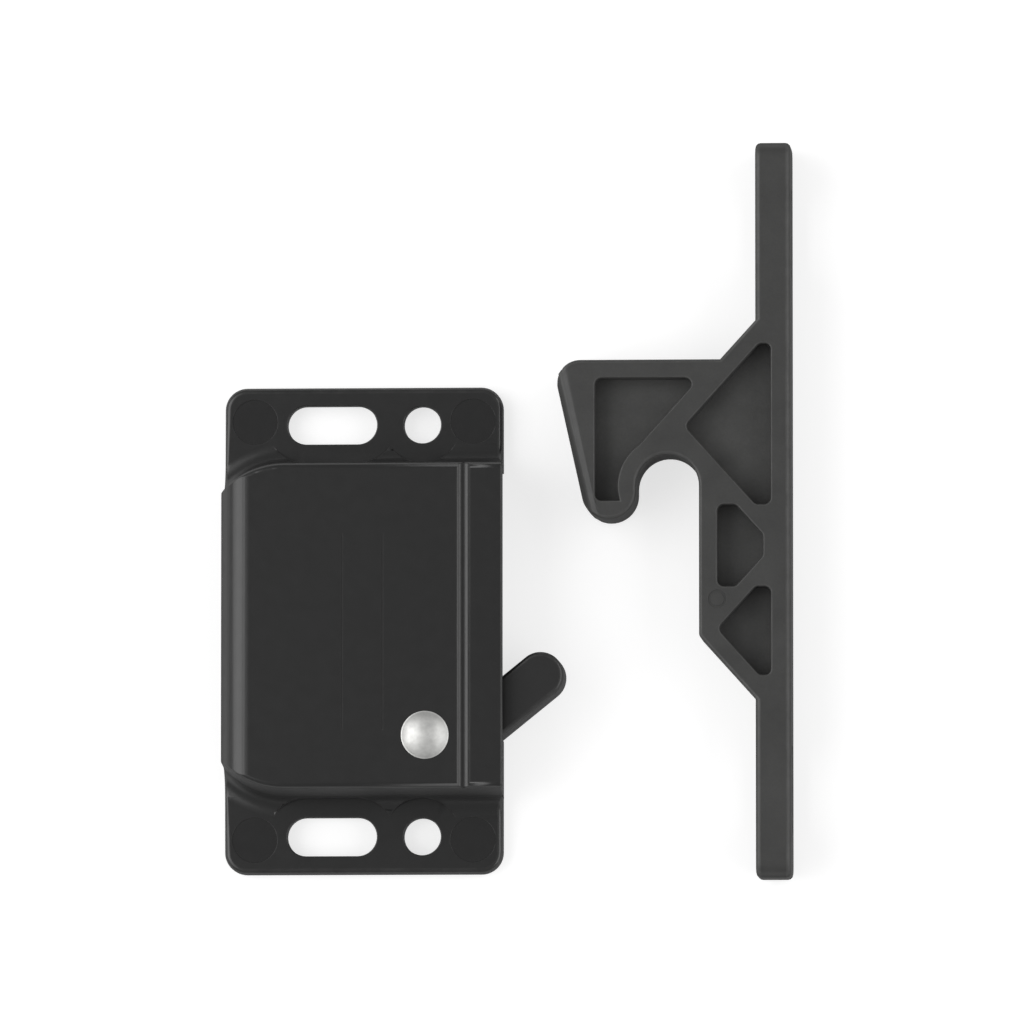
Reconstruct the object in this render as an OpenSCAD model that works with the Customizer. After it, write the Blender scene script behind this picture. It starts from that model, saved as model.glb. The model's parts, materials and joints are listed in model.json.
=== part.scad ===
// Spring cabinet catch: a moulded housing with a spring lever riveted inside it,
// and the hooked keeper that the lever grips. Millimetres, lever open.
// The origin is the middle of the housing's mounting face. +X points out of the
// mouth, +Y along the housing to its upper flange and +Z to the front.

/* [Housing] */
// Width of the housing, from its closed edge to its mouth
case_w = 38.7; // [34:0.1:48]
// How far the mouth stands out past the screw flanges
mouth_out = 0.6; // [0.2:0.1:1]
// Height of the raised case at its foot
case_h = 46.2; // [43:0.1:56]
// Depth of the case, from the mounting face to its front
case_d = 13.5; // [11.2:0.1:16.5]
// Thickness of the case walls
wall_t = 1.5; // [1.2:0.05:1.9]
// Draft of the end walls, in degrees
draft = 4; // [3:0.5:6]
// Plan radius of the two closed corners
corner_r = 12.5; // [11:0.1:15]
// Distance from the closed edge to the centres of those corners
corner_in = 8.9; // [8:0.1:10.5]
// Radius between the closed edge and the front
side_r = 4.2; // [3:0.1:5]
// Radius between the end walls and the front
edge_r = 0.8; // [0.5:0.1:1.2]
// Radius of the fillet at the foot of the end walls
foot_r = 3; // [1.6:0.1:3.6]

/* [Front groove] */
// Width of the hollow groove that runs beside the mouth
groove_w = 1.75; // [1:0.05:2.4]
// Depth of the groove
groove_depth = 0.45; // [0.3:0.05:0.6]
// Distance of the groove from the mouth edge
groove_in = 5.35; // [3:0.05:6]

/* [Screw flanges] */
// Length of each flange beyond the case
flange_h = 10.25; // [9:0.05:13]
// Thickness of the flanges
flange_t = 2.5; // [2:0.1:3.2]
// Corner radius of the flanges
flange_r = 3; // [2:0.1:4]
// Diameter of the round screw holes
hole_d = 5.1; // [4.2:0.1:6.2]
// Distance of the round holes from the mouth edge
hole_in = 11.65; // [9:0.05:13]
// Width of the adjusting slots
slot_w = 5.3; // [4.4:0.1:6.4]
// Length of the adjusting slots
slot_l = 12.3; // [10:0.1:14.8]
// Distance from a round hole to the middle of its slot
slot_in = 12.36; // [11:0.02:14]
// Diameter cleared for a screw head
head_d = 10.5; // [8:0.1:12]
// Radius of the round ejector marks in the corners
mark_r = 3.1; // [2:0.1:3.5]

/* [Back plate] */
// Thickness of the back plate
plate_t = 1.5; // [1.2:0.1:1.8]
// Width of the ledge that the back plate seats on
ledge_w = 0.7; // [0.5:0.05:0.9]
// Gap round the back plate
plate_gap = 0.08; // [0.05:0.01:0.15]

/* [Pivot] */
// Distance of the pivot from the mouth edge
pivot_in = 10.59; // [9:0.01:12]
// Height of the pivot above the lower foot of the case
pivot_up = 8.12; // [8:0.02:12]
// Diameter of the rivet's shank
rivet_d = 3.2; // [2.6:0.1:4]
// Diameter of the rivet's domed head
rivet_head_d = 6.6; // [5.4:0.1:8]
// Height of the domed head
rivet_head_h = 1.3; // [1:0.1:1.6]
// Radial gap of the rivet in the case and the plate
rivet_gap = 0.03; // [0.02:0.01:0.06]

/* [Lever] */
// Width of the finger
finger_w = 6.35; // [5.2:0.05:7.7]
// Slope of the finger when the catch is open, in degrees
finger_angle = 39; // [36:0.5:42]
// Length of the finger from beside the pivot to the middle of its tip
finger_reach = 17.3; // [15:0.02:19]
// Distance of the finger's middle line from the pivot
finger_offset = 3.36; // [3:0.01:4]
// Turn of the lever from open to closed, in degrees
turn = 45; // [40:1:48]
// Radius of the hub
hub_r = 5.4; // [4.6:0.1:6]
// Side play of the hub between the case and the plate
hub_play = 0.2; // [0.1:0.05:0.3]
// Side clearance of the finger in the case
finger_play = 1.25; // [0.8:0.05:1.5]
// Running clearance of the lever on the rivet, on the radius
bore_gap = 0.05; // [0.03:0.01:0.08]
// Length of the tail from the pivot to the middle of its ball
tail_l = 8.5; // [7.8:0.1:9]
// Clearance of the lever from its two stops
stop_gap = 0.2; // [0.15:0.05:0.3]

/* [Spring] */
// Wire diameter
wire_d = 1.1; // [0.9:0.05:1.3]
// Diameter of the coil at the middle of the wire
coil_d = 6; // [5:0.1:6.4]
// Greatest distance between two turns
coil_pitch = 1.9; // [1.6:0.1:2.4]
// Diameter of the two balls that the spring seats on
ball_d = 6; // [5.4:0.1:6.6]
// Distance of the fixed ball from the closed edge
anchor_in = 5.85; // [5.6:0.05:8]
// Height of the fixed ball above the pivot
anchor_up = 14.04; // [12:0.02:16]
// Gap between the end turns and the balls
seat_gap = 0.06; // [0.04:0.01:0.1]

/* [Keeper] */
// Play of the finger in the notch, on the radius
notch_play = 1.12; // [0.8:0.02:1.5]
// Depth from the bumper face to the back of the base
bumper_depth = 12.5; // [11:0.1:15]
// Length of the bumper face below the middle of the notch
bumper_l = 20.5; // [19:0.1:24]
// Thickness of the base
base_t = 4.8; // [4:0.1:6]
// Length of each screw tab beyond the truss
tab_l = 24.4; // [20:0.1:28]
// Width of the slots in the base
keeper_slot_w = 5.1; // [4.2:0.1:6.2]
// Length of the slots in the base
keeper_slot_l = 12; // [8:0.1:14]
// Radius of the claw's tip
claw_r = 3.75; // [3:0.05:4.2]
// Drop of the tip's middle below the middle of the notch
claw_drop = 0.75; // [0.5:0.05:1.5]
// Radius of the nose corner
nose_r = 3.2; // [2.6:0.1:4]
// Reach of the nose beyond the middle of the notch
nose_reach = 15.1; // [13:0.05:16]
// Rounding of the hook's leading side
lead_r = 1.9; // [1:0.1:2.5]
// Slope of the braces, in degrees
brace_angle = 48; // [45:0.5:50]
// Thickness of the braces below the notch
brace_t = 2; // [1.6:0.1:2.4]
// Thickness of the braces over the notch
arch_t = 2.9; // [2.4:0.1:3.4]
// Width of the rim round the pockets
rim_t = 2.5; // [2:0.1:3]
// Thickness of the web between the pockets of the two faces
web_t = 2.5; // [1.5:0.1:4]
// Side clearance of the keeper in the case
keeper_play = 0.5; // [0.3:0.05:0.8]
// Gap between the hook's top and the case when the catch is closed
hook_gap = 2.28; // [0.3:0.02:2.5]
// Gap between the finger's tip and the top of the notch when the catch is closed
tip_gap = 0.45; // [0.3:0.05:0.8]
// Distance from the mouth edge to the nose, as the keeper lies beside the housing
keeper_away = 7.15; // [6:0.05:20]
// Height of the notch above the middle of the housing, as the keeper lies there
keeper_up = 19.16; // [10:0.02:30]

/* [Hidden] */
$fn = 64;

// How far cuts run past a face, and how far joined shapes run into each other
over = 1;
// Depth of ejector marks
mark_depth = 0.12;
// Width and depth of the two witness lines on the front, and where they run
line_w = 0.2;
line_depth = 0.08;
line_from = [-2.35, 3.15];
line_y = [-14.2, 12.5];
// Size of the rivet's upset tail and of the recess for it
upset_r = 2.6;
upset_h = 0.7;
upset_gap = 0.12;
// How far along the finger from beside the pivot its round root lies
root_in = 1.2;
// Half width and thickness of the lever's neck
neck_r = 2.3;
neck_t = 3.6;
// Half width of the rib behind the fixed ball
rib_r = 1.8;
// Half width of the post that stops the closing lever
stop_r = 1.5;
// Distance of the ejector marks from the flange's side and end
mark_in = [4.1, 4.7];
// Rounding of the pockets and of the base's ends
pocket_r = 0.9;
base_r = 2;
// Solid left in the nose, in the back of the base and at the pockets' blunt corners
nose_solid = 5.2;
back_solid = 2.7;
blunt = 3.2;

// Case
flange_w = case_w - mouth_out;
left_x = -flange_w / 2;
mouth_x = left_x + case_w;
corner_x = left_x + corner_in;
corner_y = case_h / 2 - corner_r;
inner_z = case_d - wall_t;
cavity_d = inner_z - plate_t;
mid_z = plate_t + cavity_d / 2;
// Reach of the cavity from the middle to an end wall, at its front
cavity_reach = case_h / 2 - wall_t - inner_z * tan(draft);
rebate = wall_t - ledge_w;
screw_y = (case_h + flange_h) / 2;
hole_x = mouth_x - hole_in;
slot_x = hole_x - slot_in;

// Lever, open; the tail stands half a turn short of the line to the fixed ball
function polar(r, a) = [r * cos(a), r * sin(a)];
function turned(p, a) = [p.x * cos(a) - p.y * sin(a), p.x * sin(a) + p.y * cos(a)];
pivot = [mouth_x - pivot_in, pivot_up - case_h / 2];
anchor = [left_x + anchor_in, pivot.y + anchor_up];
dead_angle = atan2(anchor.y - pivot.y, anchor.x - pivot.x);
tail_open = pivot + polar(tail_l, dead_angle - turn / 2);
tail_closed = pivot + polar(tail_l, dead_angle + turn / 2);
finger_r = finger_w / 2;
finger_t = cavity_d - 2 * finger_play;
finger_foot = pivot + polar(finger_offset, finger_angle - 90);
finger_root = finger_foot + polar(root_in, finger_angle);
finger_tip = finger_foot + polar(finger_reach, finger_angle);
tip_closed = pivot + turned(finger_tip - pivot, turn);

// Spring, between its two end turns
seat = sqrt(pow((ball_d + wire_d) / 2 + seat_gap, 2) - pow(coil_d / 2, 2));
spring_angle = atan2(tail_open.y - anchor.y, tail_open.x - anchor.x);
spring_l = norm(tail_open - anchor) - 2 * seat;
end_pitch = wire_d * 1.1;
active_turns = ceil((spring_l - 2 * end_pitch) / coil_pitch);
turns = active_turns + 2;

// Keeper, from the middle of its notch
keeper_t = cavity_d - 2 * keeper_play;
notch_r = finger_r + notch_play;
notch_closed = tip_closed.y + tip_gap - notch_play;
hook_top = cavity_reach - hook_gap - notch_closed;
back_x = notch_r + bumper_depth;
base_x = back_x - base_t;
slope = tan(brace_angle);
truss_top = hook_top + base_t * slope;
truss_low = -bumper_l - (base_x - notch_r) * slope;
base_l = truss_top - truss_low + 2 * tab_l;
claw = [-notch_r - claw_r, -claw_drop];
nose = [nose_r - nose_reach, hook_top - nose_r];
keeper_at = [mouth_x + keeper_away + nose_reach, keeper_up];

// Bar with round ends of two radii
module round_bar(p, p_r, q, q_r) {
    along = atan2(q.y - p.y, q.x - p.x);
    flank = acos((p_r - q_r) / norm(q - p));
    translate(p) circle(p_r);
    translate(q) circle(q_r);
    polygon([p + polar(p_r, along + flank), p + polar(p_r, along - flank),
             q + polar(q_r, along - flank), q + polar(q_r, along + flank)]);
}

module slot_outline(length, width) {
    half = (length - width) / 2;
    round_bar([-half, 0], width / 2, [half, 0], width / 2);
}

module rounded_square(size, r) {
    for (x = [-1, 1], y = [-1, 1])
        translate([x * (size.x / 2 - r), y * (size.y / 2 - r)]) circle(r);
    square([size.x, size.y - 2 * r], center = true);
    square([size.x - 2 * r, size.y], center = true);
}

// Section of an end wall from the middle outwards: drafted, with a round top edge
module wall_section(reach, low, top, r) {
    cz = top - r;
    cy = reach - cz * tan(draft) - r / cos(draft);
    polygon([[0, low], [reach - low * tan(draft), low],
             [cy + r * cos(draft), cz + r * sin(draft)], [cy, top], [0, top]]);
    if (r > 0) translate([cy, cz]) circle(r);
}

// Section along the case: square at the mouth, with a round closed edge
module side_section(from, to, low, top, r) {
    polygon([[from, low], [to, low], [to, top], [from + r, top], [from, top - r]]);
    if (r > 0) translate([from + r, top - r]) circle(r);
}

// The case's form, or the same form drawn in by a wall, from low to top
module case_form(inset, low, top, edge, side, to) {
    intersection() {
        union() {
            translate([corner_x, 0, 0]) rotate([90, 0, 90]) linear_extrude(to - corner_x)
                for (flip = [0, 1]) mirror([flip, 0]) wall_section(case_h / 2 - inset, low, top, edge);
            for (flip = [0, 1]) mirror([0, flip, 0]) translate([corner_x, corner_y, 0])
                rotate_extrude(angle = 90, start = 90) wall_section(corner_r - inset, low, top, edge);
            translate([left_x, -corner_y, low]) cube([corner_in, 2 * corner_y, top - low]);
        }
        translate([0, case_h / 2, 0]) rotate([90, 0, 0]) linear_extrude(case_h)
            side_section(left_x + inset, to, low, top, side);
    }
}

// Section of the fillet between an end wall and its flange
module foot_section(reach) {
    cz = flange_t + foot_r;
    cy = reach - cz * tan(draft) + foot_r / cos(draft);
    touch = [cy - foot_r * cos(draft), cz - foot_r * sin(draft)];
    difference() {
        polygon([[reach - wall_t / 2, flange_t / 2], [cy, flange_t / 2], [cy, flange_t],
                 touch, [reach - wall_t / 2, touch.y]]);
        translate([cy, cz]) circle(foot_r);
    }
}

module flange_outline() rounded_square([flange_w, case_h + 2 * flange_h], flange_r);

// Fillets along both end walls and round the closed corners, cleared for screw heads
module foot_fillets() {
    difference() {
        intersection() {
            for (flip = [0, 1]) mirror([0, flip, 0]) {
                translate([corner_x, 0, 0]) rotate([90, 0, 90]) linear_extrude(mouth_x - corner_x)
                    foot_section(case_h / 2);
                translate([corner_x, corner_y, 0]) rotate_extrude(angle = 90, start = 90)
                    foot_section(corner_r);
            }
            linear_extrude(case_d) flange_outline();
        }
        for (y = [-screw_y, screw_y]) translate([0, y, flange_t]) {
            translate([hole_x, 0, 0]) cylinder(d = head_d, h = case_d);
            translate([slot_x, 0, 0]) linear_extrude(case_d)
                slot_outline(slot_l - slot_w + head_d, head_d);
        }
    }
}

// Lower part of the mouth's wall, cut to the slope of the open finger
module sill() {
    low = finger_root + polar(finger_r + stop_gap, finger_angle - 90);
    slope = tan(finger_angle);
    inner_x = mouth_x - wall_t;
    linear_extrude(case_d)
        polygon([[inner_x, -case_h / 2], [mouth_x, -case_h / 2],
                 [mouth_x, low.y + (mouth_x - low.x) * slope],
                 [inner_x, low.y + (inner_x - low.x) * slope]]);
}

module cavity() {
    difference() {
        case_form(wall_t, -over, inner_z, 0, side_r - wall_t, mouth_x + over);
        sill();
    }
    case_form(rebate, -over, plate_t, 0, 0, mouth_x - rebate);
}

// Fixed ball for the spring, on a rib from the closed edge
module spring_seat() {
    translate([anchor.x, anchor.y, mid_z]) sphere(d = ball_d);
    intersection() {
        translate([left_x, anchor.y - rib_r, mid_z - rib_r]) cube([anchor_in, 2 * rib_r, case_d]);
        case_form(wall_t / 2, 0, case_d - wall_t / 2, 0, side_r - wall_t / 2, mouth_x);
    }
}

// Post on the lower wall that the closing tail comes to rest on
module closing_stop() {
    low_y = wall_t / 2 - case_h / 2;
    translate([tail_closed.x - stop_r, low_y, mid_z - rib_r])
        cube([2 * stop_r, tail_closed.y - ball_d / 2 - stop_gap - low_y,
              inner_z - mid_z + rib_r + wall_t / 2]);
}

module housing() color("#303030") difference() {
    union() {
        difference() {
            union() {
                linear_extrude(flange_t) flange_outline();
                case_form(0, 0, case_d, edge_r, side_r, mouth_x);
                foot_fillets();
            }
            cavity();
        }
        spring_seat();
        closing_stop();
    }
    for (y = [-screw_y, screw_y]) translate([0, y, -over]) {
        translate([hole_x, 0, 0]) cylinder(d = hole_d, h = flange_t + 2 * over);
        translate([slot_x, 0, 0]) linear_extrude(flange_t + 2 * over) slot_outline(slot_l, slot_w);
    }
    mark_x = flange_w / 2 - mark_in.x;
    mark_y = case_h / 2 + flange_h - mark_in.y;
    for (x = [-mark_x, mark_x], y = [-mark_y, mark_y])
        translate([x, y, flange_t - mark_depth]) cylinder(r = mark_r, h = over);
    groove_r = (pow(groove_w / 2, 2) + pow(groove_depth, 2)) / (2 * groove_depth);
    translate([mouth_x - groove_in, case_h / 2, case_d - groove_depth + groove_r])
        rotate([90, 0, 0]) cylinder(r = groove_r, h = case_h);
    for (x = line_from)
        translate([x, line_y[0], case_d - line_depth])
            cube([line_w, line_y[1] - line_y[0], over]);
    translate([pivot.x, pivot.y, mid_z]) cylinder(r = rivet_d / 2 + rivet_gap, h = case_d);
}

module back_plate() color("#2c2c2c") difference() {
    case_form(rebate + plate_gap, 0, plate_t, 0, 0, mouth_x - rebate - plate_gap);
    translate([pivot.x, pivot.y, -over]) {
        cylinder(r = rivet_d / 2 + rivet_gap, h = plate_t + 2 * over);
        cylinder(r = upset_r + upset_gap, h = over + upset_h + upset_gap);
    }
}

module catch_lever() color("#2f2f2f") difference() {
    union() {
        translate([pivot.x, pivot.y, plate_t + hub_play]) cylinder(r = hub_r, h = cavity_d - 2 * hub_play);
        translate([0, 0, mid_z - finger_t / 2]) linear_extrude(finger_t)
            round_bar(finger_root, finger_r, finger_tip, finger_r);
        translate([0, 0, mid_z - neck_t / 2]) linear_extrude(neck_t)
            round_bar(pivot, hub_r / 2, tail_open, neck_r);
        translate([tail_open.x, tail_open.y, mid_z]) sphere(d = ball_d);
    }
    translate([pivot.x, pivot.y, 0]) cylinder(r = rivet_d / 2 + bore_gap, h = case_d);
}

module pivot_rivet() color("#bbbcbb") translate([pivot.x, pivot.y, 0]) rotate_extrude() {
    head_r = rivet_head_d / 2;
    dome_r = (pow(head_r, 2) + pow(rivet_head_h, 2)) / (2 * rivet_head_h);
    difference() {
        union() {
            translate([0, mark_depth]) square([rivet_d / 2, case_d]);
            translate([0, mark_depth]) square([upset_r, upset_h - mark_depth]);
        }
        polygon([[0, 0], [rivet_d / 4 + mark_depth, 0], [0, rivet_d / 4 + mark_depth]]);
    }
    intersection() {
        translate([0, case_d + rivet_head_h - dome_r]) circle(dome_r);
        translate([0, case_d]) square([head_r, rivet_head_h]);
    }
}

// Distance of the wire's middle along the spring after so many turns
function coil_rise(n) =
    n < 1 ? n * end_pitch :
    n > turns - 1 ? spring_l - (turns - n) * end_pitch :
    end_pitch + (n - 1) * (spring_l - 2 * end_pitch) / active_turns;

module toggle_spring() color("#9a9a98") {
    sides = 8;
    steps = 14 * turns;
    rings = [for (i = [0 : steps]) let (n = i * turns / steps, a = 360 * n)
        [for (k = [0 : sides - 1]) let (w = 360 * k / sides, r = coil_d / 2 + wire_d / 2 * cos(w))
            [coil_rise(n) + wire_d / 2 * sin(w), r * cos(a), r * sin(a)]]];
    walls = [for (i = [0 : steps - 1], k = [0 : sides - 1]) let (m = (k + 1) % sides)
        [i * sides + k, i * sides + m, (i + 1) * sides + m, (i + 1) * sides + k]];
    first = [for (k = [sides - 1 : -1 : 0]) k];
    last = [for (k = [0 : sides - 1]) steps * sides + k];
    translate([anchor.x, anchor.y, mid_z]) rotate(spring_angle) translate([seat, 0, 0])
        polyhedron([for (ring = rings) each ring], concat(walls, [first, last]), convexity = 10);
}

// Corner of an outline, rounded as a short run of points as far as its sides allow
function rounded_corner(a, b, c, limit) =
    let (u = (a - b) / norm(a - b), v = (c - b) / norm(c - b), half = acos(u * v) / 2,
         r = min(limit, 0.48 * min(norm(a - b), norm(c - b)) * tan(half)),
         middle = b + (u + v) / norm(u + v) * r / sin(half),
         from = b + u * r / tan(half) - middle, to = b + v * r / tan(half) - middle,
         start = atan2(from.y, from.x), sweep = atan2(cross(from, to), from * to))
    [for (i = [0 : 6]) middle + polar(r, start + sweep * i / 6)];
function rounded(points, r) =
    let (n = len(points))
    [for (i = [0 : n - 1]) each rounded_corner(points[(i + n - 1) % n], points[i], points[(i + 1) % n], r)];

// Outline of the hook, the bumper and the base
module keeper_outline() {
    difference() {
        union() {
            translate([base_x, truss_low - tab_l]) square([base_t, truss_top - truss_low + 2 * tab_l]);
            polygon([[base_x + over, truss_top], [base_x, truss_top], [base_x - base_t, hook_top],
                     [nose.x, hook_top], nose, claw, [notch_r, claw.y], [notch_r, -bumper_l],
                     [base_x, truss_low], [base_x + over, truss_low]]);
            round_bar(nose, nose_r, claw, claw_r);
        }
        intersection() {
            circle(notch_r);
            translate([-notch_r, 0]) square(2 * notch_r);
        }
        translate([-notch_r, claw.y]) square([2 * notch_r, -claw.y]);
    }
}

// Pockets that leave the rim, the braces and the web of the keeper
module keeper_pockets() {
    rim = rim_t / cos(brace_angle);
    brace = brace_t / cos(brace_angle);
    // Heights at which the sides of the upper pocket would meet the notch's middle line
    rising = truss_top - rim - base_x * slope;
    falling = (notch_r + arch_t) / cos(brace_angle);
    upper = [(falling - rising) / (2 * slope), (falling + rising) / 2];
    upper_top = truss_top - blunt;
    upper_low = falling - base_x * slope;
    lower = [notch_r + rim_t, rim - bumper_l - rim_t * slope];
    lower_top = lower.y + (base_x - lower.x) * slope;
    lower_low = truss_low + blunt;
    deep_x = back_x - back_solid;
    middle_x = (deep_x + base_x) / 2;

    // In the hook
    hook_x = nose_solid - nose_reach;
    hook_y = [claw.y - claw_r + rim_t, hook_top - rim_t];
    arm = rising + arch_t / cos(brace_angle);
    arm_x = max(hook_x / 2, -(notch_r + rim_t) * sin(brace_angle));
    difference() {
        polygon(rounded([[hook_x, hook_y[0]], [hook_x, hook_y[1]], [(hook_y[1] - arm) / slope, hook_y[1]],
                         [arm_x, arm + arm_x * slope], [0, 0], [0, hook_y[0]]], pocket_r));
        circle(notch_r + rim_t);
    }
    // Behind the notch
    polygon(rounded([upper, [upper.x + (upper_top - upper.y) / slope, upper_top], [deep_x, upper_top],
                     [deep_x, upper_low], [base_x, upper_low]], pocket_r));
    // Behind the bumper
    polygon(rounded([[lower.x, upper_low], [upper.x + (upper.y - upper_low - brace) / slope, upper_low],
                     [middle_x, upper.y - (middle_x - upper.x) * slope - brace],
                     [middle_x, lower.y + (middle_x - lower.x) * slope + brace],
                     [lower.x + (lower_top - lower.y - brace) / slope, lower_top], [lower.x, lower_top]], pocket_r));
    // Below the bumper
    polygon(rounded([lower, [base_x, lower_top], [deep_x, lower_top], [deep_x, lower_low],
                     [lower.x + (lower.y - lower_low) / slope, lower_low]], pocket_r));
}

// Block that rounds the hook's leading side over to both faces
module lead_in() {
    along = atan2(claw.y - nose.y, claw.x - nose.x);
    facing = along - acos((nose_r - claw_r) / norm(claw - nose));
    edge = nose + polar(nose_r, facing);
    span = 3 * base_l;
    translate([edge.x, edge.y, keeper_t / 2]) rotate(facing) translate([-span / 2, 0, 0]) rotate([90, 0, 0])
        linear_extrude(span, center = true) rounded_square([span, keeper_t], lead_r);
}

module keeper() color("#454544") translate([keeper_at.x, keeper_at.y, 0]) difference() {
    base_y = (truss_top + truss_low) / 2;
    pocket_d = (keeper_t - web_t) / 2;
    intersection() {
        linear_extrude(keeper_t) keeper_outline();
        translate([-nose_reach - over, base_y, keeper_t / 2]) rotate([90, 0, 90])
            linear_extrude(nose_reach + back_x + 2 * over) rounded_square([base_l, keeper_t], base_r);
        lead_in();
    }
    for (z = [-over, keeper_t - pocket_d])
        translate([0, 0, z]) linear_extrude(pocket_d + over) keeper_pockets();
    for (y = [truss_top + tab_l / 2, truss_low - tab_l / 2])
        translate([base_x - over, y, keeper_t / 2]) rotate([90, 0, 90])
            linear_extrude(base_t + 2 * over) slot_outline(keeper_slot_l, keeper_slot_w);
    translate([notch_r + rim_t, 2 * rim_t - bumper_l, keeper_t - mark_depth]) difference() {
        cylinder(d = rim_t, h = over);
        translate([0, 0, -over]) cylinder(d = 0.72 * rim_t, h = 3 * over);
    }
}

housing();
back_plate();
catch_lever();
pivot_rivet();
toggle_spring();
keeper();
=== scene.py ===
"""Looks of the spring cabinet catch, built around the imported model.

Lengths in the code are millimetres; MM turns them into the scene's metres.
"""
import json
import math

import bmesh
import bpy
from mathutils import Matrix, Vector


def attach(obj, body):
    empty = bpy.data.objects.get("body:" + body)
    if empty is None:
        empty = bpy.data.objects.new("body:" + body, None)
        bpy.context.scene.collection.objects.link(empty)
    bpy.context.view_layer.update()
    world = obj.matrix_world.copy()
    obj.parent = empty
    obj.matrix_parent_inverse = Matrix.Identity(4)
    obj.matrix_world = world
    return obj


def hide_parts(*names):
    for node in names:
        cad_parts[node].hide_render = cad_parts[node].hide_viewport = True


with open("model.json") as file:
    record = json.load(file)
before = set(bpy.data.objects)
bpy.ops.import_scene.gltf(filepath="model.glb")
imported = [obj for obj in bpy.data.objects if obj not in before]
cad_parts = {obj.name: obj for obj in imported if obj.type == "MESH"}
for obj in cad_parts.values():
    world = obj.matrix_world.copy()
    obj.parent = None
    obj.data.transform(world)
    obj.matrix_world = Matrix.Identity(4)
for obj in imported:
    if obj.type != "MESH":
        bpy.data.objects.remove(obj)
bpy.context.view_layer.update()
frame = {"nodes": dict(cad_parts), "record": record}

MM = 0.001
SCENE = bpy.context.scene


# Camera and stage

VIEW_WIDTH = 139.7
VIEW_FROM = 2000
VIEW_AT = Vector((19.87, 16.65, 0))
VIEW_LEAN = math.radians(3.4), math.radians(-4.4)
SENSOR = 36
CLIP_END_M = 20

LIT_AT = (20, 15, 0)
ROOM_LIGHT = 0.45
PAPER, PAPER_GLOW = 0.45, 0.68
FLOOR_HALF, FLOOR_Z = 3000, -0.02


def aim(obj, place, target):
    """Puts obj at place so that its -Z axis looks at target, with +Y upwards in its view."""
    back = (Vector(place) - Vector(target)).normalized()
    right = Vector((0, 1, 0)).cross(back).normalized()
    turn = Matrix((right, back.cross(right), back)).transposed().to_4x4()
    obj.matrix_world = Matrix.Translation(Vector(place) * MM) @ turn


def add(name, data):
    obj = bpy.data.objects.new(name, data)
    SCENE.collection.objects.link(obj)
    return obj


def grey(level):
    return (level, level, level, 1)


def make_camera():
    camera = add("camera", bpy.data.cameras.new("camera"))
    camera.data.sensor_width = SENSOR
    camera.data.lens = SENSOR * VIEW_FROM / VIEW_WIDTH
    camera.data.clip_end = CLIP_END_M
    towards = Vector((math.tan(VIEW_LEAN[0]), math.tan(VIEW_LEAN[1]), 1)).normalized()
    aim(camera, VIEW_AT + VIEW_FROM * towards, VIEW_AT)
    SCENE.camera = camera
    SCENE.view_settings.view_transform = "Standard"


def make_lamp(name, place, size, power):
    """A soft rectangular lamp of size (width, height)."""
    data = bpy.data.lights.new(name, "AREA")
    data.shape = "RECTANGLE"
    data.size, data.size_y = size[0] * MM, size[1] * MM
    data.energy = power
    obj = add(name, data)
    aim(obj, place, LIT_AT)
    obj.visible_camera = False


class Nodes:
    """A material's or world's node tree with short calls."""

    def __init__(self, owner):
        owner.use_nodes = True
        self.tree = owner.node_tree
        self.tree.nodes.clear()

    def add(self, kind, links=None, **settings):
        node = self.tree.nodes.new("ShaderNode" + kind)
        for key, value in settings.items():
            setattr(node, key, value)
        for key, value in (links or {}).items():
            socket = node.inputs[key]
            if isinstance(value, bpy.types.NodeSocket):
                self.tree.links.new(value, socket)
            else:
                socket.default_value = value
        return node

    def math(self, operation, a, b=0.0, c=0.0):
        return self.add("Math", {0: a, 1: b, 2: c}, operation=operation).outputs[0]

    def vector(self, operation, a, **links):
        return self.add("VectorMath", {0: a, **links}, operation=operation)

    def between(self, value, low, high, to_low, to_high):
        """Value from low..high mapped to to_low..to_high and held there."""
        ends = {"From Min": low, "From Max": high, "To Min": to_low, "To Max": to_high}
        return self.add("MapRange", {"Value": value, **ends}).outputs[0]

    def noise(self, where, per_metre, detail, roughness):
        links = {"Vector": where, "Scale": per_metre, "Detail": detail, "Roughness": roughness}
        return self.add("TexNoise", links).outputs["Fac"]

    def cloudy(self, where, per_metre, detail, roughness, to_low, to_high):
        """Noise spread over to_low..to_high."""
        return self.between(self.noise(where, per_metre, detail, roughness), 0.3, 0.7, to_low, to_high)

    def height(self, vector):
        return self.add("SeparateXYZ", {0: vector}).outputs["Z"]

    def mix(self, factor, a, b):
        """Colour a turned into colour b by factor."""
        node = self.add("Mix", {"Factor": factor, "A": a, "B": b}, data_type="RGBA")
        return next(output for output in node.outputs if output.type == "RGBA")

    def seen(self):
        """1 for rays of the camera and of mirror-like or clear surfaces."""
        path = self.add("LightPath")
        seen = self.math("MAXIMUM", path.outputs["Is Camera Ray"], path.outputs["Is Glossy Ray"])
        return self.math("MAXIMUM", seen, path.outputs["Is Transmission Ray"])


def make_world():
    world = bpy.data.worlds.new("studio")
    SCENE.world = world
    n = Nodes(world)
    room = n.add("Background", {"Color": grey(ROOM_LIGHT)})
    n.add("OutputWorld", {"Surface": room.outputs[0]})


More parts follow.
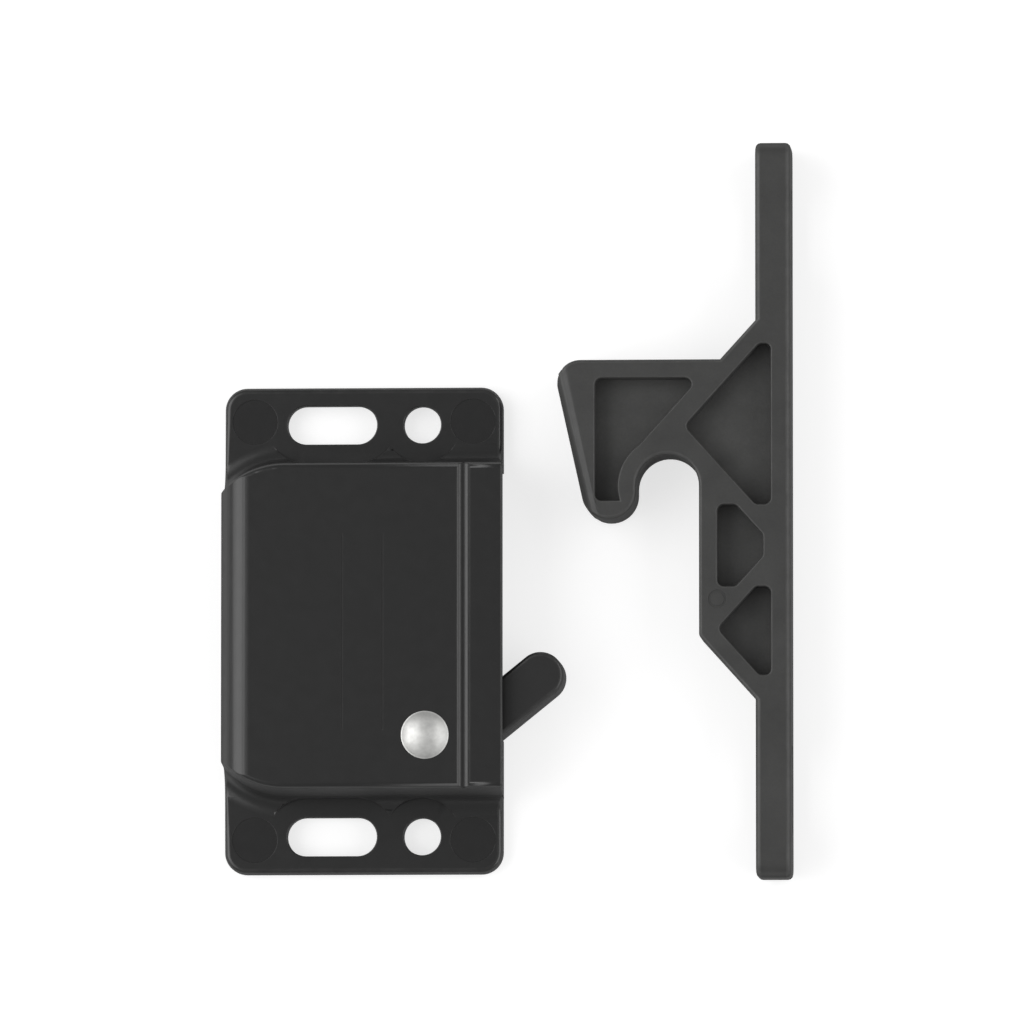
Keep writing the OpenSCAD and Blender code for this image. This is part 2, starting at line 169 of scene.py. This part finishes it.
def make_floor():
    """A white floor that keeps the object's shadow."""
    material = bpy.data.materials.new("floor_white")
    n = Nodes(material)
    paper = n.add("BsdfDiffuse", {"Color": grey(PAPER)})
    glow = n.add("Emission", {"Color": grey(PAPER_GLOW)})
    lit = n.add("AddShader", {0: paper.outputs[0], 1: glow.outputs[0]})
    mix = n.add("MixShader", {0: n.seen(), 1: paper.outputs[0], 2: lit.outputs[0]})
    n.add("OutputMaterial", {"Surface": mix.outputs[0]})
    mesh = bpy.data.meshes.new("floor")
    corners = [(x * FLOOR_HALF * MM, y * FLOOR_HALF * MM, FLOOR_Z * MM)
               for x, y in ((-1, -1), (1, -1), (1, 1), (-1, 1))]
    mesh.from_pydata(corners, [], [(0, 1, 2, 3)])
    mesh.materials.append(material)
    add("floor", mesh)


make_camera()
make_lamp("key_lamp", (-450, 40, 500), (560, 1000), 2.25)
make_lamp("strip_lamp", (-520, 60, 420), (560, 600), 1.2)
make_lamp("fill_lamp", (600, 20, 420), (400, 1000), 2.3)
make_world()
make_floor()


# Materials

PLASTIC_IOR = 1.57
PLASTIC_RELIEF, METAL_RELIEF = 0.04, 0.03
RING_STEP = 0.09


def plastic(name, colour, edge_wear_and_highlight, roughness, grain, mottle=0.03, painted_light_below=None, mark_at=None):
    """Moulded plastic: mottled tone, fine spark-eroded grain, and rounded edges made paler by rubbed wear
    and by a painted highlight.

    Level faces lower than the given floor height are paler, a painted light that brightens the floors of
    moulded pockets, and those at the height mark_at are smoother, as the marks of ejector pins are.
    """
    material = bpy.data.materials.new(name)
    n = Nodes(material)
    where = n.add("TexCoord").outputs["Object"]
    height = n.height(where)
    level = n.math("ABSOLUTE", n.height(n.add("NewGeometry").outputs["Normal"]))

    speck = n.cloudy(where, 3400, 2, 0.6, 0.92, 1.08)
    tone = n.math("MULTIPLY", n.cloudy(where, 140, 4, 0.62, 1 - mottle, 1 + mottle), speck)
    # Painted light: level faces low in pockets are made paler, standing in for light reaching the floors.
    if painted_light_below:
        low = n.between(height, (painted_light_below - 0.1) * MM, painted_light_below * MM, 0.6, 0.0)
        low = n.math("MULTIPLY", low, n.between(level, 0.8, 0.95, 0.0, 1.0))
        tone = n.math("MULTIPLY", tone, n.math("ADD", low, 1.0))
    tinted = n.vector("SCALE", colour, Scale=tone).outputs[0]
    rub = n.between(n.noise(where, 420, 4, 0.65), 0.36, 0.66, 0.25, 1.0)
    # Rounded faces take a paler colour: rubbed wear, broken up by noise, and a painted highlight along
    # the edges.
    wear_and_highlight = n.math("MULTIPLY", n.add("Attribute", attribute_name="wear_and_highlight").outputs["Fac"], rub)

    gloss = n.cloudy(where, 520, 4, 0.6, roughness - 0.025, roughness + 0.025)
    gloss = n.math("ADD", gloss, n.between(level, 0.25, 0.75, 0.55, 0.0))
    if mark_at:
        off = n.math("ABSOLUTE", n.math("SUBTRACT", height, mark_at * MM))
        gloss = n.math("SUBTRACT", gloss, n.between(off, 0.03 * MM, 0.06 * MM, 0.06, 0.0))

    peel, fine = n.noise(where, 700, 2, 0.5), n.noise(where, 6200, 3, 0.6)
    relief = n.math("MULTIPLY_ADD", peel, 0.6, fine)
    bump = n.add("Bump", {"Strength": grain, "Distance": PLASTIC_RELIEF * MM, "Height": relief})
    shader = n.add("BsdfPrincipled", {"Base Color": n.mix(wear_and_highlight, tinted, edge_wear_and_highlight), "Roughness": gloss,
                                      "Normal": bump.outputs[0], "IOR": PLASTIC_IOR})
    n.add("OutputMaterial", {"Surface": shader.outputs[0]})
    return material


def metal(name, colour, smoothest, roughest, axis=None):
    """Bare metal with scuffs, and turned rings round axis (x, y) where there is one."""
    material = bpy.data.materials.new(name)
    n = Nodes(material)
    where = n.add("TexCoord").outputs["Object"]
    tone = n.cloudy(where, 900, 4, 0.6, 0.86, 1.08)
    tinted = n.vector("SCALE", colour, Scale=tone).outputs[0]
    gloss = n.cloudy(where, 2600, 4, 0.65, smoothest, roughest)
    relief = n.noise(where, 2200, 3, 0.6)
    if axis:
        moved = n.add("VectorMath", {0: where, 1: (-axis[0] * MM, -axis[1] * MM, 0)}, operation="ADD")
        flat = n.add("VectorMath", {0: moved.outputs[0], 1: (1, 1, 0)}, operation="MULTIPLY")
        radius = n.vector("LENGTH", flat.outputs[0]).outputs["Value"]
        rings = n.math("SINE", n.math("MULTIPLY", radius, 2 * math.pi / (RING_STEP * MM)))
        relief = n.math("ADD", relief, n.math("MULTIPLY", rings, 0.12))
    bump = n.add("Bump", {"Strength": 0.25, "Distance": METAL_RELIEF * MM, "Height": relief})
    shader = n.add("BsdfPrincipled", {"Base Color": tinted, "Roughness": gloss,
                                      "Normal": bump.outputs[0], "Metallic": 1.0})
    n.add("OutputMaterial", {"Surface": shader.outputs[0]})
    return material


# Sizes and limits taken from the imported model

LEFT_X, MOUTH_X = -19.05, 19.65
FRONT_Z, MID_Z = 13.5, 6.75
SIDE_R, EDGE_R = 4.2, 0.8
CORNER, CORNER_R = (-10.15, 10.6), 12.5
END_Y = CORNER[1] + CORNER_R
DRAFT = math.radians(4)
FLANGE_T, FLANGE_TOP, FLANGE_R = 2.5, 33.35, 3
FOOT_R, FOOT_Y = 3, 25.72
GROOVE_X = 14.3
MARK_Z = 2.38
PIVOT = (9.06, -14.98)
KEEPER_T = 9.5
# Level keeper faces below this height get painted light, a paler colour on the pocket floors.
PAINTED_LIGHT_FLOORS_BELOW = 6.5

# The second colour of each plastic is that of its rounded edges: rubbed wear and a painted highlight.
housing_plastic = plastic("housing_plastic", (0.004, 0.004, 0.004), (0.016, 0.016, 0.0155, 1),
                          roughness=0.3, grain=0.2, mark_at=MARK_Z)
lever_plastic = plastic("lever_plastic", (0.004, 0.004, 0.004), (0.02, 0.02, 0.0195, 1),
                        roughness=0.36, grain=0.18)
keeper_plastic = plastic("keeper_plastic", (0.026, 0.026, 0.025), (0.045, 0.045, 0.0435, 1),
                         roughness=0.5, grain=0.3, mottle=0.24, painted_light_below=PAINTED_LIGHT_FLOORS_BELOW)
rivet_metal = metal("rivet_metal", (0.64, 0.64, 0.625), 0.47, 0.57, PIVOT)
spring_steel = metal("spring_steel", (0.5, 0.5, 0.49), 0.24, 0.42)


# Outer edge of the housing

CREASE_ROUND, FLANGE_ROUND = 0.5, 0.8
FIRST_LEAN = 6
WALL_STEP, WALL_STEPS = 1.2, 3


def closed_side(z):
    """The closed side at a height: x and the lean of its outward normal."""
    lean = math.asin(max(0, z - FRONT_Z + SIDE_R) / SIDE_R)
    return LEFT_X + SIDE_R * (1 - math.cos(lean)), lean


def corner_wall(z):
    """The closed corner's wall at a height: reach from the corner's axis and lean of its normal."""
    foot_z, top_z = FLANGE_T + FOOT_R, FRONT_Z - EDGE_R
    if z < foot_z - FOOT_R * math.sin(DRAFT):
        lean = math.asin((foot_z - z) / FOOT_R)
        centre = CORNER_R - foot_z * math.tan(DRAFT) + FOOT_R / math.cos(DRAFT)
        return centre - FOOT_R * math.cos(lean), lean
    if z > top_z + EDGE_R * math.sin(DRAFT):
        lean = math.asin((z - top_z) / EDGE_R)
        centre = CORNER_R - top_z * math.tan(DRAFT) - EDGE_R / math.cos(DRAFT)
        return centre + EDGE_R * math.cos(lean), lean
    return CORNER_R - z * math.tan(DRAFT), DRAFT


def crease(z):
    """Where the closed side meets the upper corner's wall: place and both outward normals."""
    x, side_lean = closed_side(z)
    reach, wall_lean = corner_wall(z)
    out = Vector((x - CORNER[0], math.sqrt(reach ** 2 - (x - CORNER[0]) ** 2), 0))
    side = Vector((-math.cos(side_lean), 0, math.sin(side_lean)))
    wall = out.normalized() * math.cos(wall_lean) + Vector((0, 0, math.sin(wall_lean)))
    return Vector((CORNER[0], CORNER[1], z)) + out, side, wall


def crease_heights(side_steps, foot_steps):
    """Heights down the crease: round side, straight wall, foot fillet."""
    for i in range(side_steps + 1):
        lean = math.radians(FIRST_LEAN + 84 * i / side_steps)
        yield FRONT_Z - SIDE_R * (1 - math.cos(lean))
    for i in range(1, WALL_STEPS + 1):
        yield FRONT_Z - SIDE_R - WALL_STEP * i
    for i in range(foot_steps + 1):
        lean = math.radians(FIRST_LEAN + 80 * i / foot_steps)
        yield FLANGE_T + FOOT_R * (1 - math.sin(lean))


def front_edge(steps=14):
    """The upper end's outer edge from the front, down the closed corner and round to the mouth.

    Gives places, the outward normals of the two faces that meet there and the radius to round to.
    """
    up = Vector((0, 0, 1))
    for z in crease_heights(24, steps):
        yield *crease(z), CREASE_ROUND
    turn_x, turn_y = -LEFT_X - FLANGE_R, FLANGE_TOP - FLANGE_R
    low_y = crease(FLANGE_T)[0].y
    for i in range(1, steps):
        share = i / steps
        place = Vector((LEFT_X, low_y + share * (turn_y - low_y), FLANGE_T))
        yield place, Vector((-1, 0, 0)), up, CREASE_ROUND + share * (FLANGE_ROUND - CREASE_ROUND)
    for side, start in ((-1, 180), (1, 90)):
        for i in range(steps + 1):
            angle = math.radians(start - 90 * i / steps)
            out = Vector((math.cos(angle), math.sin(angle), 0))
            yield Vector((side * turn_x, turn_y, FLANGE_T)) + FLANGE_R * out, out, up, FLANGE_ROUND
    for i in range(steps + 1):
        angle = math.radians(70 * i / steps)
        lean = Vector((0, math.sin(angle), math.cos(angle)))
        place = Vector((-LEFT_X, FOOT_Y, FLANGE_T + FOOT_R)) - FOOT_R * lean
        yield place, Vector((1, 0, 0)), lean, FLANGE_ROUND * min(1, 1.5 * (1.04 - i / steps))


def edge_cutter(end, spare=0.4, reach=1.0, slant=0.3, steps=6):
    """A mesh that rounds the outer edge of the upper (1) or lower (-1) end when it is cut away."""
    bm = bmesh.new()
    rings = []
    for place, first, second, r in front_edge():
        share = 1 + first.dot(second)
        centre = place - (first + second) * r / share
        away_first = (first * first.dot(second) - second).normalized()
        away_second = (second * first.dot(second) - first).normalized()
        section = [centre + first * (r + slant * reach) + away_first * reach]
        section += [centre + first.slerp(second, i / steps) * r for i in range(steps + 1)]
        section += [centre + second * (r + slant * reach) + away_second * reach]
        section += [centre + (first + second) * (r + spare) / share]
        rings.append([bm.verts.new((q.x, end * q.y, q.z)) for q in section])
    skin(bm, rings)
    for face in bm.faces:
        face.material_index = 1
    return mesh_of(bm, "cutter")


def flush_wall(bm):
    """Draws the corner of the lever's stop that comes through the lower end wall back into it."""
    for vert in bm.verts:
        wall_y = -END_Y + vert.co.z * math.tan(DRAFT)
        on_wall = abs(vert.co.x) < 8 and 6 < vert.co.z < FRONT_Z - EDGE_R + 0.1
        if on_wall and vert.co.y < wall_y - 0.01:
            vert.co.y = wall_y


def with_round_flanges(bm):
    """The housing's bmesh with its outer edges rounded, their faces in the second material slot."""
    uncut = add("uncut", mesh_of(bm, "uncut"))
    spent = [uncut]
    for end in (1, -1):
        cutter = add("cutter", edge_cutter(end))
        cut = uncut.modifiers.new("cut", "BOOLEAN")
        cut.operation, cut.solver, cut.material_mode = "DIFFERENCE", "EXACT", "INDEX"
        cut.object = cutter
        spent.append(cutter)
    done = evaluated(uncut)
    bm = bmesh.new()
    bm.from_mesh(done)
    for obj in spent:
        bpy.data.meshes.remove(obj.data)
    bpy.data.meshes.remove(done)
    bmesh.ops.remove_doubles(bm, verts=bm.verts, dist=0.004)
    return bm


def draft_mouth(mesh):
    """Slopes the mouth's face from the flanges' edge at the back to its full reach at the front."""
    for vertex in mesh.vertices:
        out = vertex.co.x / MM + LEFT_X
        if out > 0:
            vertex.co.x -= out * MM * (1 - vertex.co.z / MM / FRONT_Z)


# Pieces

WELD, SLIVER, FLAT = 0.005, 0.003, math.radians(0.05)
ROUNDED_FROM = math.radians(25)
SHARP_FROM = math.radians(38)


def mesh_of(bm, name):
    """A mesh of the bmesh, which is used up."""
    mesh = bpy.data.meshes.new(name)
    bm.to_mesh(mesh)
    bm.free()
    return mesh


def evaluated(obj):
    """A mesh of obj with its modifiers applied."""
    graph = bpy.context.evaluated_depsgraph_get()
    return bpy.data.meshes.new_from_object(obj.evaluated_get(graph))


def skin(bm, rings):
    """Closed surface over rings of points, with a cap at each end."""
    for low, high in zip(rings, rings[1:]):
        for k in range(len(low)):
            m = (k + 1) % len(low)
            bm.faces.new((low[k], low[m], high[m], high[k]))
    bm.faces.new(rings[0])
    bm.faces.new(rings[-1])
    bmesh.ops.recalc_face_normals(bm, faces=bm.faces)


def cleaned(node, mend=None):
    """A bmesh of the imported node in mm, mended, welded, with its flat regions joined."""
    bm = bmesh.new()
    bm.from_mesh(frame["nodes"][node].data)
    bmesh.ops.scale(bm, vec=(1 / MM,) * 3, verts=bm.verts)
    if mend:
        mend(bm)
    bmesh.ops.remove_doubles(bm, verts=bm.verts, dist=WELD)
    bmesh.ops.dissolve_degenerate(bm, dist=SLIVER, edges=bm.edges)
    bmesh.ops.dissolve_limit(bm, angle_limit=FLAT, verts=bm.verts, edges=bm.edges)
    return bm


def rounded_piece(name, node, material, round_of, segments=3, mend=None, shape=None, settle=None):
    """Stands for a node, with its edges rounded: round_of(middle, edge) gives a radius or 0."""
    bm = cleaned(node, mend)
    if shape:
        bm = shape(bm)
    bm.normal_update()
    weight = bm.edges.layers.float.new("bevel_weight_edge")
    for edge in bm.edges:
        if edge.is_manifold and edge.calc_face_angle(0) > ROUNDED_FROM:
            edge[weight] = round_of((edge.verts[0].co + edge.verts[1].co) / 2, edge)
    bmesh.ops.scale(bm, vec=(MM,) * 3, verts=bm.verts)
    mesh = mesh_of(bm, name)
    mesh.materials.append(material)
    mesh.materials.append(material)
    obj = add(name, mesh)
    bevel = obj.modifiers.new("round", "BEVEL")
    bevel.limit_method = "WEIGHT"
    bevel.width = MM
    bevel.segments = segments
    bevel.use_clamp_overlap = False
    bevel.loop_slide = False
    bevel.material = 1
    bevel.miter_outer = "MITER_ARC"
    done = evaluated(obj)
    obj.modifiers.clear()
    obj.data = done
    bpy.data.meshes.remove(mesh)
    mark_wear_and_highlight(done)
    join_points(done)
    if settle:
        settle(done)
    finish_piece(obj, node)


def mark_wear_and_highlight(mesh):
    """Writes 1 to the attribute of rubbed wear and painted highlight on the rounded faces, which have the
    second material slot.
    """
    edge_wear_and_highlight = []
    for polygon in mesh.polygons:
        edge_wear_and_highlight.append(float(polygon.material_index))
        polygon.material_index = 0
    mesh.materials.pop(index=1)
    mesh.attributes.new("wear_and_highlight", "FLOAT", "FACE").data.foreach_set("value", edge_wear_and_highlight)


def join_points(mesh):
    """Joins the points that rounding left on top of each other."""
    bm = bmesh.new()
    bm.from_mesh(mesh)
    bmesh.ops.remove_doubles(bm, verts=bm.verts, dist=0.002 * MM)
    bmesh.ops.dissolve_degenerate(bm, dist=0.001 * MM, edges=bm.edges)
    bm.to_mesh(mesh)
    bm.free()


def finish_piece(obj, node):
    """Smooth shading with flat faces kept flat, and obj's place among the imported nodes."""
    mesh = obj.data
    mesh.shade_smooth()
    mesh.set_sharp_from_angle(angle=SHARP_FROM)
    normals = obj.modifiers.new("normals", "WEIGHTED_NORMAL")
    normals.keep_sharp = True
    normals.weight = 80
    bodies = frame["record"]["behaviour"]["bodies"]
    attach(obj, next(body for body, nodes in bodies.items() if node in nodes))
    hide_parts(node)


def wall_height(edge):
    """How far the upright face beside an edge reaches in height."""
    heights = [v.co.z for f in edge.link_faces if abs(f.normal.z) < 0.5 for v in f.verts]
    return max(heights) - min(heights) if heights else 0


def housing_round(p, edge):
    """The mouth's rim is the roundest edge; edges that are cut round already have no radius here."""
    end = abs(p.y)
    if not edge.is_convex:
        return 0
    if p.x > MOUTH_X - 0.15:
        return 0.35
    if p.x < -14 and 17 < end < 24 and p.z > 0.1:
        return 0
    if p.z > FRONT_Z - 0.2:
        if end > 19:
            return 0
        return 0.12 if abs(p.x - GROOVE_X) < 1.2 else 0.04
    if p.z < 0.1:
        return 0.2
    if p.z < FLANGE_T - 0.08:
        return 0
    if abs(p.x) > 18 and end > 18.5 or end > FLANGE_TOP - 0.95:
        return 0
    if p.z < FLANGE_T + 0.1 and end > END_Y - 0.2 and wall_height(edge) < 0.5:
        return 0.05
    return 0.15 if end > 18.5 else 0.12


def lever_round(p, edge):
    """The finger and the tail's flanks are rounder than the rims of the hub."""
    if not edge.is_convex:
        return 0
    return 0.6 if p.x > 14.6 or abs(p.z - MID_Z) < 4.2 else 0.2


def keeper_round(p, edge):
    """The base is rounder than the hook, and the rims of pockets and the pin's mark are finer."""
    on_base = p.x > 53
    base_middle, ends_from = 15.94, 48.1
    if not edge.is_convex:
        return 0
    if on_base and abs(p.y - base_middle) > ends_from:
        return 0.7
    if 0.1 < p.z < KEEPER_T - 0.1:
        return 0.3
    height = wall_height(edge)
    if height < 0.5:
        return 0.04
    if height < 4:
        return 0.22
    return 0.7 if on_base else 0.45


def plate_round(p, edge):
    return 0.12 if edge.is_convex else 0


def lathe(name, profile, axis, material, node, steps=96):
    """Turns a profile of (radius, height) points about an upright axis at (x, y)."""
    bm = bmesh.new()
    rows = []
    for radius, height in profile:
        row = []
        for i in range(steps if radius else 1):
            a = 2 * math.pi * i / steps
            place = (axis[0] + radius * math.cos(a), axis[1] + radius * math.sin(a), height)
            row.append(bm.verts.new(Vector(place) * MM))
        rows.append(row)
    for low, high in zip(rows, rows[1:]):
        for i in range(steps):
            k = (i + 1) % steps
            ring = [low[i % len(low)], low[k % len(low)], high[k % len(high)], high[i % len(high)]]
            bm.faces.new(list(dict.fromkeys(ring)))
    mesh = mesh_of(bm, name)
    mesh.materials.append(material)
    finish_piece(add(name, mesh), node)


def arc(centre, radius, start, end, steps):
    """Points of an arc from start to end, in degrees."""
    angles = [math.radians(start + (end - start) * i / steps) for i in range(steps + 1)]
    return [(centre[0] + radius * math.cos(a), centre[1] + radius * math.sin(a)) for a in angles]


def rivet_profile():
    """The rivet from its set tail at the back, up the shank, to the dome at the front."""
    shank_r, tail_r, tail_top, tail_edge = 1.6, 2.6, 0.7, 0.2
    head_r, rim_r, dome_r, dome_top = 3.2, 0.06, 4.838, 14.8
    dome_from = math.degrees(math.acos((head_r - 0.02) / dome_r))
    tail = [(0, 0.92), (0.8, 0.12)] + arc((tail_r - tail_edge, 0.32), tail_edge, -90, 0, 5)
    shank = [(tail_r, tail_top), (shank_r, tail_top), (shank_r, FRONT_Z)]
    rim = [(head_r, FRONT_Z)] + arc((head_r, FRONT_Z + rim_r), rim_r, -60, 30, 4)
    dome = arc((0, dome_top - dome_r), dome_r, dome_from, 90, 20)
    return tail + shank + rim + dome[:-1] + [(0, dome_top)]


def coil(name, start, end, turns, material, node, around=40, sides=14):
    """A compression spring from start to end, with a closed turn at each end."""
    along = end - start
    length = along.length
    side = along.cross(Vector((0, 0, 1))).normalized()
    up = side.cross(along).normalized()
    along.normalize()

    def rise(n):
        if n < 1:
            return n * END_PITCH
        if n > turns - 1:
            return length - (turns - n) * END_PITCH
        return END_PITCH + (n - 1) * (length - 2 * END_PITCH) / (turns - 2)

    bm = bmesh.new()
    rings = []
    last = turns * around
    for i in range(last + 1):
        n = i / around
        out = side * math.cos(2 * math.pi * n) + up * math.sin(2 * math.pi * n)
        middle = start + along * rise(n) + out * COIL_R
        wire_r = WIRE_D / 2 * min(1, 0.55 + 0.25 * min(i, last - i))
        ring = []
        for k in range(sides):
            w = 2 * math.pi * k / sides
            ring.append(bm.verts.new((middle + wire_r * (out * math.cos(w) + along * math.sin(w))) * MM))
        rings.append(ring)
    skin(bm, rings)
    mesh = mesh_of(bm, name)
    mesh.materials.append(material)
    finish_piece(add(name, mesh), node)


rounded_piece("housing_shell", "housing", housing_plastic, housing_round,
              mend=flush_wall, shape=with_round_flanges, settle=draft_mouth)
rounded_piece("finger_lever", "catch_lever", lever_plastic, lever_round, segments=5)
rounded_piece("keeper_hook", "keeper", keeper_plastic, keeper_round)
rounded_piece("rear_cover", "back_plate", housing_plastic, plate_round)
lathe("domed_rivet", rivet_profile(), PIVOT, rivet_metal, "pivot_rivet")

# The spring, between the fixed ball and the tail's ball; at rest the tail stands half of the
# lever's turn away from dead centre
WIRE_D, COIL_R, BALL_D, SEAT_GAP = 1.1, 3, 6, 0.06
END_PITCH, COIL_PITCH = 1.21, 1.9
ANCHOR_X, ANCHOR_UP = -13.2, 14.04
TAIL_L, HALF_TURN = 8.5, math.radians(22.5)

anchor = Vector((ANCHOR_X, PIVOT[1] + ANCHOR_UP, MID_Z))
seat = math.sqrt(((BALL_D + WIRE_D) / 2 + SEAT_GAP) ** 2 - COIL_R ** 2)
tail_angle = math.atan2(ANCHOR_UP, ANCHOR_X - PIVOT[0]) - HALF_TURN
tail = Vector((PIVOT[0] + TAIL_L * math.cos(tail_angle), PIVOT[1] + TAIL_L * math.sin(tail_angle), MID_Z))
spring_axis = (tail - anchor).normalized()
spring_turns = math.ceil(((tail - anchor).length - 2 * seat - 2 * END_PITCH) / COIL_PITCH) + 2
coil("steel_coil", anchor + seat * spring_axis, tail - seat * spring_axis, spring_turns,
     spring_steel, "toggle_spring")
